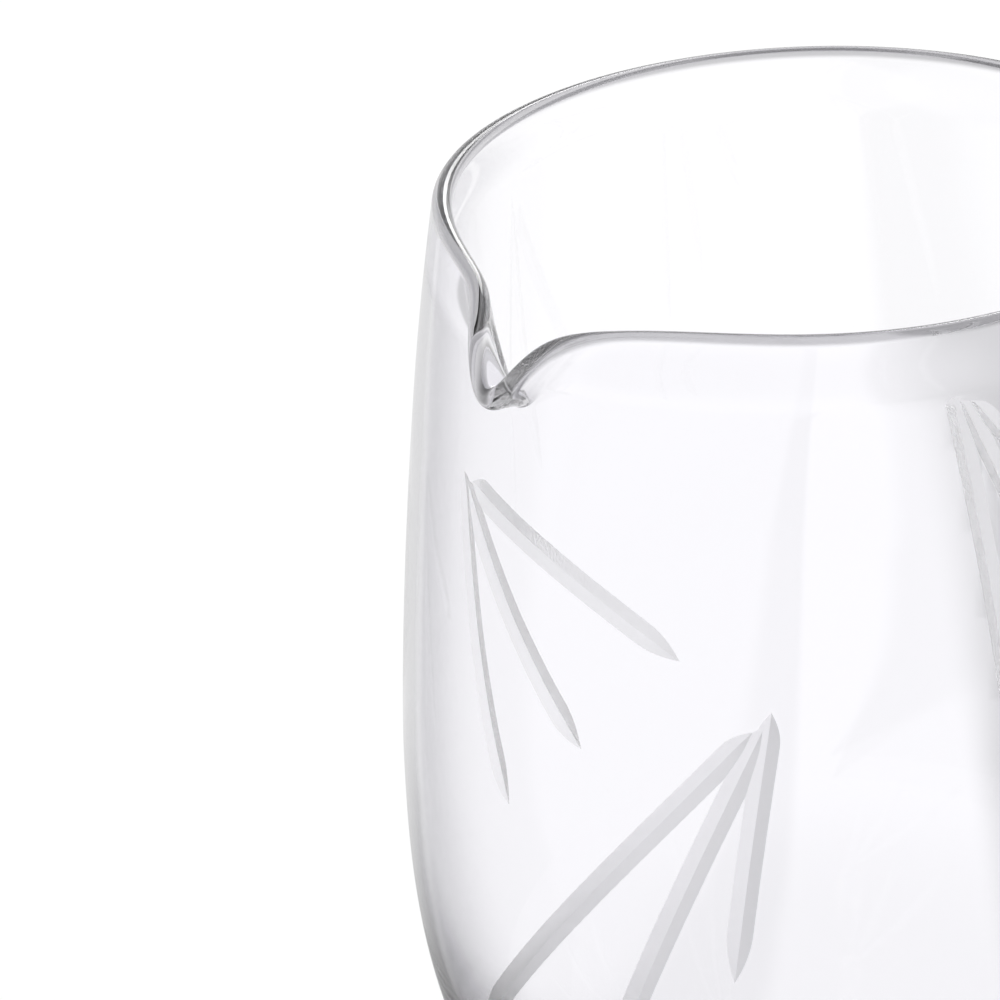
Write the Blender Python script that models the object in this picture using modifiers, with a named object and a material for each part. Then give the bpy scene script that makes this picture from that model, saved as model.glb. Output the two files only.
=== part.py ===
"""Footed mixing glass: a cut bowl with a pour lip, on a short stem and a disc foot.

Metres, +Z up. The origin is the centre of the foot's underside, and the pour lip
points along -X. The bowl, the stem and the foot are blown or pressed separately and
joined hot, so each is a solid of its own with a flat joint face.
"""

import math

import bmesh
import bpy
from mathutils import Vector

# Foot
FOOT_DIAMETER = 0.076
FOOT_EDGE = 0.003            # thickness at the rim of the disc
FOOT_RISE = 0.010            # height of the seat that the stem stands on
FOOT_HOLLOW_DIAMETER = 0.050  # shallow hollow inside the flat resting ring
FOOT_HOLLOW_DEPTH = 0.0012
FOOT_SEAT_PULL = 0.85        # how far the sweep drops at the seat before it turns out
FOOT_EDGE_PULL = 0.55        # how far it runs flat towards the edge

# Stem
STEM_LENGTH = 0.028
STEM_WAIST_DIAMETER = 0.0120
NECK_DIAMETER = 0.0155       # at both joint faces, shared by the three pieces
JOINT_GAP = 0.0003

# Bowl
BELLY_DIAMETER = 0.088
RIM_DIAMETER = 0.0776
BELLY_TO_RIM = 0.0607
BELLY_TO_BASE = 0.0600       # down to where the rounded base would close on the axis
NECK_DROP = 0.0040           # from that point down to the joint face
NECK_FILLET_RADIUS = 0.0190  # radius on the base where the neck starts to draw out
WALL = 0.0012
RIM_WALL = 0.0021            # fire-polished rim, thickened on its inside
RIM_THICKENING = 0.0070      # below the rim, where the wall is down to WALL
BASE_THICKNESS = 0.0070
UPPER_POWER = 1.42           # how late the wall draws in towards the rim
LOWER_POWER = 2.70           # how full the rounded base is
INNER_POWER = 3.10           # the same inside, so that the wall stays thin well down the base
BASE_PULL = 0.60             # how far the fillet follows the base on its way to the neck
NECK_PULL = 0.75             # how far it follows the neck's side

# Pour lip, pulled out and down from the rim while the wall beside it is pinched in.
# Spreads are in half widths of the lip.
LIP_WIDTH = 0.0145           # between its two shoulders
LIP_DROP = 0.0058            # the narrow notch
LIP_NOTCH_SPREAD = 0.51
SHOULDER_DROP = 0.0031       # the wide, shallow dip of the rim round the notch
SHOULDER_SPREAD = 2.00
LIP_REACH = 0.0052           # how far the edge is bent out
LIP_REACH_SPREAD = 0.94
LIP_PINCH = 0.0013           # how far the wall is pressed in
LIP_PINCH_SPREAD = 3.40
LIP_DEPTH = 0.0200           # below the rim, where the wall is undisturbed again
LIP_BEND = 0.0100            # part of the wall, from the edge down, that is bent out

# Fans of mitre cuts on the outside of the bowl
FAN_COUNT = 4
FAN_FIRST = 41.6             # degrees round from the lip, counted anticlockwise from above
FAN_PITCH = 83.9             # degrees from fan to fan, with a wider gap left below the lip
FAN_BELOW_RIM = 0.0385
RAY_ANGLES = (9.2, 25.4, 44.4)  # degrees from straight down
RAY_STARTS = (0.0, 0.0015, 0.0029)  # distances from the apex
RAY_ENDS = (0.0426, 0.0443, 0.0466)
FIRST_RAY_ANGLES = (9.2, 25.4, 42.5)  # the first fan is cut less evenly
FIRST_RAY_ENDS = (0.0301, 0.0446, 0.0580)
FIRST_RAY_SWING = 0.0018     # how far its rays swing back sideways, at SWING_DISTANCE
SWING_DISTANCE = 0.0526
CUT_WIDTH = 0.0026
CUT_DEPTH = 0.0006
CUT_END = 0.12               # width left at a ray's two ends, as a share of CUT_WIDTH
CUT_TAPER = 0.0060           # length of the pointed lower ends
APEX_TAPER = 0.0035          # length of the blunter upper ends
CUTTER_PROUD = 1.6           # height of a cutter above the valley, in depths of the cut

# Clear glass
GLASS_TINT = (0.97, 0.97, 0.98)
GLASS_ROUGHNESS = 0.02
GLASS_IOR = 1.52

# Smoothness of the round surfaces
SHARP_ANGLE = 35             # degrees between faces from which an edge is sharp
BOWL_STEPS = 84
BOWL_CROWDING = 0.60         # how far the steps crowd towards the lip
RIM_CROWDING = 1.70          # how far the rings crowd towards the rim
WALL_RINGS = 13
BASE_RINGS = 9
RIM_SEGMENTS = 6
FILLET_RINGS = 6
STEM_STEPS = 48
STEM_RINGS = 12
FOOT_RINGS = 12
EDGE_SEGMENTS = 6
HOLLOW_RINGS = 5
RAY_STATIONS = 8

# Derived places
FOOT_RADIUS = FOOT_DIAMETER / 2
NECK_RADIUS = NECK_DIAMETER / 2
BELLY_RADIUS = BELLY_DIAMETER / 2
RIM_RADIUS = RIM_DIAMETER / 2
STEM_BASE = FOOT_RISE + JOINT_GAP
BOWL_BASE = STEM_BASE + STEM_LENGTH + JOINT_GAP
BELLY_HEIGHT = NECK_DROP + BELLY_TO_BASE   # above the bowl's own joint face
RIM_HEIGHT = BELLY_HEIGHT + BELLY_TO_RIM
MIDDLE_SHARE = 1.0 - RIM_WALL / RIM_DIAMETER  # middle of the rim, as a share of its outside
RIM_EXTRA = RIM_WALL - WALL * RIM_DIAMETER / BELLY_DIAMETER
BEAD_HEIGHT = RIM_WALL / 2
WALL_TOP = RIM_HEIGHT - BEAD_HEIGHT
LIP_DIRECTION = math.pi


def clear_scene():
    for scene_object in list(bpy.data.objects):
        bpy.data.objects.remove(scene_object, do_unlink=True)


def new_collection(name):
    collection = bpy.data.collections.new(name)
    bpy.context.scene.collection.children.link(collection)
    return collection


def glass_material(name):
    material = bpy.data.materials.new(name)
    material.use_nodes = True
    shader = material.node_tree.nodes["Principled BSDF"]
    shader.inputs["Base Color"].default_value = (*GLASS_TINT, 1.0)
    shader.inputs["Roughness"].default_value = GLASS_ROUGHNESS
    shader.inputs["Metallic"].default_value = 0.0
    shader.inputs["IOR"].default_value = GLASS_IOR
    shader.inputs["Transmission Weight"].default_value = 1.0
    return material


def bezier(start, start_pull, end_pull, end, count):
    """Points after start on a cubic curve in the profile plane, end included."""
    points = []
    for index in range(1, count + 1):
        t = index / count
        weights = ((1 - t) ** 3, 3 * t * (1 - t) ** 2, 3 * t * t * (1 - t), t ** 3)
        corners = (start, start_pull, end_pull, end)
        radius = sum(w * corner[0] for w, corner in zip(weights, corners))
        height = sum(w * corner[1] for w, corner in zip(weights, corners))
        points.append((radius, height))
    return points


def turned_object(name, outline, steps, collection):
    """Turn a profile of (radius, height) points, listed down the outer side, about Z."""
    mesh = bpy.data.meshes.new(name)
    corners = [(radius, 0.0, height) for radius, height in outline]
    edges = [(index, index + 1) for index in range(len(corners) - 1)]
    mesh.from_pydata(corners, edges, [])
    turned = bpy.data.objects.new(name, mesh)
    collection.objects.link(turned)
    screw = turned.modifiers.new("turn", "SCREW")
    screw.axis = "Z"
    screw.steps = steps
    screw.render_steps = steps
    screw.use_merge_vertices = True
    screw.merge_threshold = 0.00001
    screw.use_smooth_shade = True
    return turned


def make_plain_mesh(turned):
    """Replace an object's profile and modifiers by the mesh that they make."""
    depsgraph = bpy.context.evaluated_depsgraph_get()
    depsgraph.update()
    mesh = bpy.data.meshes.new_from_object(turned.evaluated_get(depsgraph))
    turned.modifiers.clear()
    turned.data = mesh
    return mesh


def wall_scale(height):
    """Radius of the bowl at a height above its joint face, as a share of the belly's."""
    above = height - BELLY_HEIGHT
    if above >= 0.0:
        narrowing = 1.0 - (RIM_RADIUS / BELLY_RADIUS) ** 2
        share = narrowing * (above / BELLY_TO_RIM) ** UPPER_POWER
    else:
        share = min(1.0, (-above / BELLY_TO_BASE) ** LOWER_POWER)
    return math.sqrt(1.0 - share)


def outer_radius(height):
    return BELLY_RADIUS * wall_scale(height)


def inner_radius(height):
    """Radius of the inside, from the belly up."""
    thin = (BELLY_RADIUS - WALL) * wall_scale(height)
    return thin - RIM_EXTRA * smooth_fall(WALL_TOP - height, 0.0, RIM_THICKENING)


def upper_heights():
    """Heights from the wall's top down to the belly, closer together near the rim."""
    drop = WALL_TOP - BELLY_HEIGHT
    shares = [(index / WALL_RINGS) ** RIM_CROWDING for index in range(WALL_RINGS + 1)]
    return [WALL_TOP - drop * share for share in shares]


def lower_wall(belly_radius, base_drop, power, end_radius):
    """Points below the belly, down the rounded base as far as end_radius, evenly spaced."""
    last_angle = math.acos(end_radius / belly_radius)
    points = []
    for index in range(1, BASE_RINGS + 1):
        angle = last_angle * (index / BASE_RINGS) ** (power / 2.0)
        drop = base_drop * math.sin(angle) ** (2.0 / power)
        points.append((belly_radius * math.cos(angle), BELLY_HEIGHT - drop))
    return points


def bowl_outline():
    """The bowl's section: up the inside, over the rim, down the outside to the joint."""
    inside = [(inner_radius(height), height) for height in upper_heights()]
    inner_drop = BELLY_TO_BASE - BASE_THICKNESS
    inside += lower_wall(BELLY_RADIUS - WALL, inner_drop, INNER_POWER, 0.0)
    outside = [(outer_radius(height), height) for height in upper_heights()]
    outside += lower_wall(BELLY_RADIUS, BELLY_TO_BASE, LOWER_POWER, NECK_FILLET_RADIUS)

    rim = []
    rim_middle = (inside[0][0] + outside[0][0]) / 2
    rim_half = (outside[0][0] - inside[0][0]) / 2
    for index in range(1, RIM_SEGMENTS):
        angle = math.pi * (1.0 - index / RIM_SEGMENTS)
        rim.append((
            rim_middle + rim_half * math.cos(angle), WALL_TOP + BEAD_HEIGHT * math.sin(angle)))

    start = outside[-1]
    slope = (outside[-1][1] - outside[-2][1]) / (outside[-1][0] - outside[-2][0])
    run = start[0] - NECK_RADIUS
    start_pull = (start[0] - BASE_PULL * run, start[1] - BASE_PULL * run * slope)
    end = (NECK_RADIUS, 0.0)
    end_pull = (NECK_RADIUS, NECK_PULL * start_pull[1])
    fillet = bezier(start, start_pull, end_pull, end, FILLET_RINGS)
    return inside[::-1] + rim + outside + fillet + [(0.0, 0.0)]


def angle_from_lip(x, y):
    angle = math.atan2(y, x) - LIP_DIRECTION
    return math.atan2(math.sin(angle), math.cos(angle))


def smooth_fall(value, start, end):
    """1 up to start, 0 from end on, with a smooth fall between them."""
    share = min(1.0, max(0.0, (value - start) / (end - start)))
    return 1.0 - share * share * (3.0 - 2.0 * share)


def hump(half_widths, spread):
    """1 at the middle of the lip, dying down sideways."""
    return math.exp(-((half_widths / spread) ** 2))


def lip_middle(angle, depth):
    """Middle of the wall with the lip pulled, at a depth below the edge as it was before."""
    half_widths = angle * RIM_RADIUS / (LIP_WIDTH / 2)
    drop = LIP_DROP * hump(half_widths, LIP_NOTCH_SPREAD)
    drop += SHOULDER_DROP * hump(half_widths, SHOULDER_SPREAD)
    fade = max(0.0, 1.0 - depth / LIP_DEPTH) ** 2
    height = WALL_TOP - depth - drop * fade
    bend = max(0.0, 1.0 - depth / LIP_BEND) ** 3
    radius = MIDDLE_SHARE * outer_radius(height)
    radius += LIP_REACH * hump(half_widths, LIP_REACH_SPREAD) * bend
    radius -= LIP_PINCH * hump(half_widths, LIP_PINCH_SPREAD) * fade
    turn = LIP_DIRECTION + angle
    return Vector((radius * math.cos(turn), radius * math.sin(turn), height))


def pull_lip(radius, angle, height):
    """Where a point of the round bowl goes when the lip is pulled: the wall keeps its thickness."""
    step = 0.0002
    turn_step = step / RIM_RADIUS
    depth = max(0.0, WALL_TOP - height)
    rise = max(0.0, height - WALL_TOP)
    level = WALL_TOP - depth
    slope = MIDDLE_SHARE * (outer_radius(level + step) - outer_radius(level - step)) / (2 * step)
    lean = math.atan(slope)
    up = Vector((0.0, 0.0, 1.0))
    turn = LIP_DIRECTION + angle
    outward = Vector((math.cos(turn), math.sin(turn), 0.0))
    round_normal = outward * math.cos(lean) - up * math.sin(lean)
    round_edge = outward * math.sin(lean) + up * math.cos(lean)
    along_rim = lip_middle(angle + turn_step, depth) - lip_middle(angle - turn_step, depth)
    up_wall = lip_middle(angle, depth - step) - lip_middle(angle, depth + step)
    normal = along_rim.cross(up_wall).normalized()
    edge = normal.cross(along_rim).normalized()
    offset = radius - MIDDLE_SHARE * outer_radius(level)
    point = lip_middle(angle, depth)
    return point + (outward + normal - round_normal) * offset + (up + edge - round_edge) * rise


def shape_bowl(mesh):
    """Crowd the turned steps towards the lip, then pull the lip out of the rim."""
    for vertex in mesh.vertices:
        radius = math.hypot(vertex.co.x, vertex.co.y)
        if radius < JOINT_GAP:
            continue
        angle = angle_from_lip(vertex.co.x, vertex.co.y)
        angle -= BOWL_CROWDING * math.sin(angle)
        height = vertex.co.z
        if RIM_HEIGHT - height < LIP_DEPTH:
            vertex.co = pull_lip(radius, angle, height)
        else:
            turn = LIP_DIRECTION + angle
            vertex.co = (radius * math.cos(turn), radius * math.sin(turn), height)


def ray_point(fan_angle, ray_angle, swing, distance):
    """A point on the bowl's outside, at a distance down a ray from its fan's apex."""
    height = RIM_HEIGHT - FAN_BELOW_RIM - distance * math.cos(ray_angle)
    radius = outer_radius(height)
    sideways = distance * math.sin(ray_angle) - swing * (distance / SWING_DISTANCE) ** 3
    turn = LIP_DIRECTION + fan_angle - sideways / radius
    return Vector((radius * math.cos(turn), radius * math.sin(turn), height))


def outward_normal(point):
    step = 0.0005
    slope = (outer_radius(point.z + step) - outer_radius(point.z - step)) / (2 * step)
    return Vector((point.x, point.y, -slope * math.hypot(point.x, point.y))).normalized()


def add_ray(cutter, fan_angle, ray_angle, swing, start, end):
    """Loft one V-section ray, pointed at both ends, along the outside of the bowl."""
    rings = []
    for index in range(RAY_STATIONS + 1):
        share = (1.0 - math.cos(math.pi * index / RAY_STATIONS)) / 2
        distance = start + (end - start) * share
        point = ray_point(fan_angle, ray_angle, swing, distance)
        ahead = ray_point(fan_angle, ray_angle, swing, distance + CUT_DEPTH)
        normal = outward_normal(point)
        side = (ahead - point).cross(normal).normalized()
        from_end = min((distance - start) / APEX_TAPER, (end - distance) / CUT_TAPER)
        blunt = 1.0 - max(0.0, 1.0 - from_end) ** 2
        size = CUT_END + (1.0 - CUT_END) * blunt
        half_width = size * CUT_WIDTH / 2
        depth = size * CUT_DEPTH
        lift = normal * depth * (CUTTER_PROUD - 1.0)
        spread = side * half_width * CUTTER_PROUD
        corners = (point - normal * depth, point + lift + spread, point + lift - spread)
        rings.append([cutter.verts.new(corner) for corner in corners])
    for near, far in zip(rings, rings[1:]):
        for corner in range(3):
            after = (corner + 1) % 3
            cutter.faces.new((near[corner], near[after], far[after], far[corner]))
    cutter.faces.new(rings[0][::-1])
    cutter.faces.new(rings[-1])


def ray_cutter(name, ray, collection):
    """The matching rays of all the fans, as one cutter of separate bodies."""
    cutter = bmesh.new()
    for number in range(FAN_COUNT):
        fan_angle = math.radians(FAN_FIRST + number * FAN_PITCH)
        if number == 0:
            ray_angle, end, swing = FIRST_RAY_ANGLES[ray], FIRST_RAY_ENDS[ray], FIRST_RAY_SWING
        else:
            ray_angle, end, swing = RAY_ANGLES[ray], RAY_ENDS[ray], 0.0
        add_ray(cutter, fan_angle, math.radians(ray_angle), swing, RAY_STARTS[ray], end)
    bmesh.ops.recalc_face_normals(cutter, faces=cutter.faces)
    mesh = bpy.data.meshes.new(name)
    cutter.to_mesh(mesh)
    cutter.free()
    cutter_object = bpy.data.objects.new(name, mesh)
    cutter_object.hide_render = True
    cutter_object.display_type = "WIRE"
    collection.objects.link(cutter_object)
    return cutter_object


def make_bowl(parts, cutters):
    bowl = turned_object("bowl", bowl_outline(), BOWL_STEPS, parts)
    mesh = make_plain_mesh(bowl)
    shape_bowl(mesh)
    mesh.shade_smooth()
    mesh.set_sharp_from_angle(angle=math.radians(SHARP_ANGLE))
    bowl.location.z = BOWL_BASE
    for ray in range(len(RAY_ANGLES)):
        cutter = ray_cutter(f"fan_rays_{ray + 1}", ray, cutters)
        cutter.parent = bowl
        cut = bowl.modifiers.new(cutter.name, "BOOLEAN")
        cut.operation = "DIFFERENCE"
        cut.solver = "EXACT"
        cut.object = cutter
    bowl.data.materials.append(glass_material("bowl glass"))
    return bowl


def make_stem(parts):
    """A short drawn stem, narrowest half way up."""
    outline = [(0.0, STEM_LENGTH)]
    for index in range(STEM_RINGS + 1):
        share = 1.0 - index / STEM_RINGS
        pinch = (NECK_DIAMETER - STEM_WAIST_DIAMETER) / 2 * math.sin(math.pi * share) ** 2
        outline.append((NECK_RADIUS - pinch, STEM_LENGTH * share))
    outline.append((0.0, 0.0))
    stem = turned_object("stem", outline, STEM_STEPS, parts)
    stem.location.z = STEM_BASE
    stem.data.materials.append(glass_material("stem glass"))
    return stem


def make_foot(parts):
    """A disc that sweeps up to the stem's seat and rests on a flat ring."""
    edge_half = FOOT_EDGE / 2
    edge_middle = FOOT_RADIUS - edge_half
    seat = (NECK_RADIUS, FOOT_RISE)
    seat_pull = (NECK_RADIUS, FOOT_RISE - FOOT_SEAT_PULL * (FOOT_RISE - FOOT_EDGE))
    edge_pull = (edge_middle - FOOT_EDGE_PULL * (edge_middle - NECK_RADIUS), FOOT_EDGE)
    outline = [(0.0, FOOT_RISE), seat]
    outline += bezier(seat, seat_pull, edge_pull, (edge_middle, FOOT_EDGE), FOOT_RINGS)
    for index in range(1, EDGE_SEGMENTS + 1):
        angle = math.pi * (0.5 - index / EDGE_SEGMENTS)
        outline.append((edge_middle + edge_half * math.cos(angle), edge_half * (1 + math.sin(angle))))
    for index in range(HOLLOW_RINGS + 1):
        share = 1.0 - index / HOLLOW_RINGS
        height = FOOT_HOLLOW_DEPTH * (1.0 - share * share)
        outline.append((FOOT_HOLLOW_DIAMETER / 2 * share, height))
    foot = turned_object("foot", outline, STEM_STEPS, parts)
    foot.data.materials.append(glass_material("foot glass"))
    return foot


def main():
    clear_scene()
    parts = new_collection("mixing_glass")
    cutters = new_collection("mixing_glass_cutters")
    stand = bpy.data.objects.new("mixing_glass", None)
    parts.objects.link(stand)
    for piece in (make_foot(parts), make_stem(parts), make_bowl(parts, cutters)):
        piece.parent = stand
    cutters.hide_render = True


main()
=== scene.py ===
"""Looks of a footed mixing glass: clear blown glass with satin mitre cuts.

Laid out as a Blender add-on and run as a script. Metres, +Z up, in the frame of the
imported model: the foot stands on z = 0 and the pour lip points along -X.
"""

import math

import bpy
from bpy.props import FloatProperty, FloatVectorProperty, IntProperty, PointerProperty
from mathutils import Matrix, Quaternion, Vector


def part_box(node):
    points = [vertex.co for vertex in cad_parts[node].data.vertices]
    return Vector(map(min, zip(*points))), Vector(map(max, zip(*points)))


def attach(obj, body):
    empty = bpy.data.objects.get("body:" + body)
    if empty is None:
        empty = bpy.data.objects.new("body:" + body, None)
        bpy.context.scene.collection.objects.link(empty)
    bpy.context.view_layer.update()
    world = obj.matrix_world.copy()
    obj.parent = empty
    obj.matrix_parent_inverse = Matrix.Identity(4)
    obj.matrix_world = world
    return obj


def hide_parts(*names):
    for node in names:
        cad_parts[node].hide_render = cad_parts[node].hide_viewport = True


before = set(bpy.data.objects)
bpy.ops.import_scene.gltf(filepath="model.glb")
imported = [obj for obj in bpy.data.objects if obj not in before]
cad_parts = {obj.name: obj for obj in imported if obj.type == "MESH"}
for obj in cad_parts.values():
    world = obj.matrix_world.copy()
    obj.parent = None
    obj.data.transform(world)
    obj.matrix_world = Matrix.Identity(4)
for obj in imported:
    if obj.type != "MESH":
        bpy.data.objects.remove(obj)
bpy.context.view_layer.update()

bl_info = {
    "name": "Footed mixing glass",
    "version": (1, 0, 0),
    "blender": (4, 5, 0),
    "location": "3D View > Sidebar > Mixing glass",
    "description": "Builds a cut, lipped bowl on a stem and a foot, with its studio stage",
    "category": "Object",
}

BODY = "root"
RIM_MARK = "rim"

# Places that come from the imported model
BOWL_LOW, BOWL_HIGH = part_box("bowl")
STEM_LOW, STEM_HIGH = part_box("stem")
_, FOOT_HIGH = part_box("foot")
UPPER_JOINT = (STEM_HIGH.z + BOWL_LOW.z) / 2
LOWER_JOINT = (FOOT_HIGH.z + STEM_LOW.z) / 2
BELLY_RADIUS = (BOWL_HIGH.y - BOWL_LOW.y) / 2
NECK_RADIUS = STEM_HIGH.x
FOOT_RADIUS = FOOT_HIGH.x
RIM_TOP = BOWL_HIGH.z
LIP_DIRECTION = math.pi

# How far the fillet under the bowl follows the base, and then the neck
BASE_PULL = 0.60
NECK_PULL = 0.75

# Smoothness of the glass
BOWL_STEPS = 300
BOWL_CROWDING = 0.75
STEM_STEPS = 128
WALL_RINGS = 56
BASE_RINGS = 48
RIM_SEGMENTS = 16
FILLET_RINGS = 18
STEM_RINGS = 48
FOOT_RINGS = 40
RAY_STATIONS = 48
RIM_CROWDING = 1.35
WELD = 0.000001
SHARP_EDGE = math.radians(20)

# Painted shade and painted highlight of the clear glass, by how far its surface is turned from the
# eye: 0 straight on, 1 edge on
EDGE_SHADE_START, EDGE_SHADE_FULL = 0.49, 0.78
PALE_LINE, PALE_LINE_HALF = 0.755, 0.030
# Heights between which the thick base passes into the thin wall
BASE_END, WALL_START = 0.060, 0.095
# Shares of the rim's height between which its painted grey shade comes in
RIM_SHADE_START, RIM_SHADE_FULL = 0.05, 0.55
# Finish of the polished glass, and of the ground cuts
POLISHED_ROUGHNESS = 0.006
GRIT_SCALE = 2600.0
GRIT_DEPTH = 0.000015

# Half the side of the floor
FLOOR_HALF = 6.0
# Places of the floor's shades, in metres right of the glass and away from the camera
NEAR_FULL, NEAR_END = 0.075, 0.225
NEAR_LEFT_END, NEAR_LEFT_FULL = -0.18, -0.13
LEFT_FULL, LEFT_END = -0.070, -0.045
BEHIND_START, BEHIND_FULL = 0.02, 0.06
# The right shade's border runs straight, then bends to the left and gets softer
BEND_START, BEND_LENGTH = 0.20, 0.165
BORDER_BEND = 0.5
BORDER_WIDTH, BORDER_WIDENING = 0.008, 0.1

# Rise of the view, as a share of straight up, over which the ceiling darkens
CEILING_START, CEILING_FULL = 0.10, 0.50
# Place of the lamp, behind the glass and a little to the right
REAR_SOFTBOX = (0.89, 0.67, 0.76)


class BowlSizes(bpy.types.PropertyGroup):
    """Sizes of the bowl's wall, rim and base."""

    belly_radius: FloatProperty(
        name="Belly radius", description="Outside radius at the widest level",
        default=BELLY_RADIUS, unit="LENGTH")
    rim_radius: FloatProperty(
        name="Rim radius", description="Outside radius at the rim", default=0.0388, unit="LENGTH")
    belly_to_rim: FloatProperty(
        name="Belly to rim", description="Height of the rim above the widest level",
        default=0.0607, unit="LENGTH")
    belly_to_base: FloatProperty(
        name="Belly to base", description="Drop to where the base would close on the axis",
        default=0.0600, unit="LENGTH")
    fillet_radius: FloatProperty(
        name="Fillet radius", description="Radius where the neck starts to draw out of the base",
        default=0.0190, unit="LENGTH")
    wall: FloatProperty(
        name="Wall", description="Wall thickness at the belly", default=0.0012, unit="LENGTH")
    rim_wall: FloatProperty(
        name="Rim wall", description="Thickness of the fire-polished rim",
        default=0.0021, unit="LENGTH")
    rim_thickening: FloatProperty(
        name="Rim thickening", description="Depth below the rim where the wall is thin",
        default=0.0070, unit="LENGTH")
    base_thickness: FloatProperty(
        name="Base thickness", description="Thickness of the base on the axis",
        default=0.0070, unit="LENGTH")
    upper_power: FloatProperty(
        name="Upper power", description="How late the wall draws in towards the rim", default=1.42)
    lower_power: FloatProperty(
        name="Lower power", description="How full the rounded base is", default=2.70)
    inner_power: FloatProperty(
        name="Inner power", description="The same inside, where the wall stays thin", default=3.10)


class LipSizes(bpy.types.PropertyGroup):
    """Sizes of the pour lip. Spreads are in half widths of the lip."""

    width: FloatProperty(
        name="Width", description="Distance between the lip's shoulders",
        default=0.0145, unit="LENGTH")
    drop: FloatProperty(
        name="Drop", description="Depth of the narrow notch", default=0.0058, unit="LENGTH")
    notch_spread: FloatProperty(
        name="Notch spread", description="Where the notch dies down", default=0.51)
    shoulder_drop: FloatProperty(
        name="Shoulder drop", description="Depth of the wide dip of the rim round the notch",
        default=0.0031, unit="LENGTH")
    shoulder_spread: FloatProperty(
        name="Shoulder spread", description="Where the wide dip dies down", default=2.00)
    reach: FloatProperty(
        name="Reach", description="How far the edge is bent out", default=0.0052, unit="LENGTH")
    reach_spread: FloatProperty(
        name="Reach spread", description="Where the bend dies down sideways", default=0.94)
    pinch: FloatProperty(
        name="Pinch", description="How far the wall is pressed in", default=0.0013, unit="LENGTH")
    pinch_spread: FloatProperty(
        name="Pinch spread", description="Where the pinch dies down", default=3.40)
    depth: FloatProperty(
        name="Depth", description="Where the wall below the lip is undisturbed again",
        default=0.0200, unit="LENGTH")
    bend: FloatProperty(
        name="Bend", description="Part of the wall that is bent out",
        default=0.0100, unit="LENGTH")


class CutSizes(bpy.types.PropertyGroup):
    """Sizes of the fans of mitre cuts on the outside of the bowl."""

    fans: IntProperty(name="Fans", description="Fans round the bowl", default=4, min=1)
    first: FloatProperty(
        name="First fan", description="Turn of the first fan from the lip",
        default=math.radians(41.6), subtype="ANGLE")
    pitch: FloatProperty(
        name="Pitch", description="Turn from fan to fan",
        default=math.radians(83.9), subtype="ANGLE")
    below_rim: FloatProperty(
        name="Below rim", description="Level of the fans' apexes below the rim",
        default=0.0385, unit="LENGTH")
    ray_angles: FloatVectorProperty(
        name="Ray angles", description="Lean of the rays from straight down",
        default=[math.radians(angle) for angle in (9.2, 25.4, 44.4)], subtype="EULER")
    ray_starts: FloatVectorProperty(
        name="Ray starts", description="Distances of the rays' upper ends from the apex",
        default=(0.0, 0.0015, 0.0029), unit="LENGTH")
    ray_ends: FloatVectorProperty(
        name="Ray ends", description="Distances of the rays' lower ends from the apex",
        default=(0.0426, 0.0443, 0.0466), unit="LENGTH")
    first_angles: FloatVectorProperty(
        name="First ray angles", description="Lean in the first fan, which is cut less evenly",
        default=[math.radians(angle) for angle in (9.2, 25.4, 42.5)], subtype="EULER")
    first_ends: FloatVectorProperty(
        name="First ray ends", description="Distances of the lower ends in the first fan",
        default=(0.0301, 0.0446, 0.0580), unit="LENGTH")
    first_swing: FloatProperty(
        name="First swing", description="How far the first fan's rays swing back sideways",
        default=0.0018, unit="LENGTH")
    swing_distance: FloatProperty(
        name="Swing distance", description="Distance from the apex where they have swung that far",
        default=0.0526, unit="LENGTH")
    width: FloatProperty(
        name="Width", description="Widest part of a ray", default=0.0026, unit="LENGTH")
    depth: FloatProperty(
        name="Depth", description="Deepest part of a ray", default=0.0006, unit="LENGTH")
    taper: FloatProperty(
        name="Taper", description="Length of a ray's pointed lower end",
        default=0.0060, unit="LENGTH")
    apex_taper: FloatProperty(
        name="Apex taper", description="Length of a ray's blunter upper end",
        default=0.0035, unit="LENGTH")
    proud: FloatProperty(
        name="Proud", description="Height of a cutter above the valley, in depths", default=1.6)


class StandSizes(bpy.types.PropertyGroup):
    """Sizes of the stem and the foot."""

    neck_radius: FloatProperty(
        name="Neck radius", description="Radius at the two joints",
        default=NECK_RADIUS, unit="LENGTH")
    waist_radius: FloatProperty(
        name="Waist radius", description="Narrowest part of the stem",
        default=0.0060, unit="LENGTH")
    foot_radius: FloatProperty(
        name="Foot radius", description="Radius of the disc", default=FOOT_RADIUS, unit="LENGTH")
    foot_edge: FloatProperty(
        name="Foot edge", description="Thickness of the disc's edge",
        default=0.0030, unit="LENGTH")
    hollow_radius: FloatProperty(
        name="Hollow radius", description="Radius of the shallow hollow underneath",
        default=0.0250, unit="LENGTH")
    hollow_depth: FloatProperty(
        name="Hollow depth", description="Depth of that hollow", default=0.0012, unit="LENGTH")
    seat_pull: FloatProperty(
        name="Seat pull", description="How far the sweep drops before it turns out", default=0.85)
    edge_pull: FloatProperty(
        name="Edge pull", description="How far it runs flat towards the edge", default=0.55)


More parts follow.
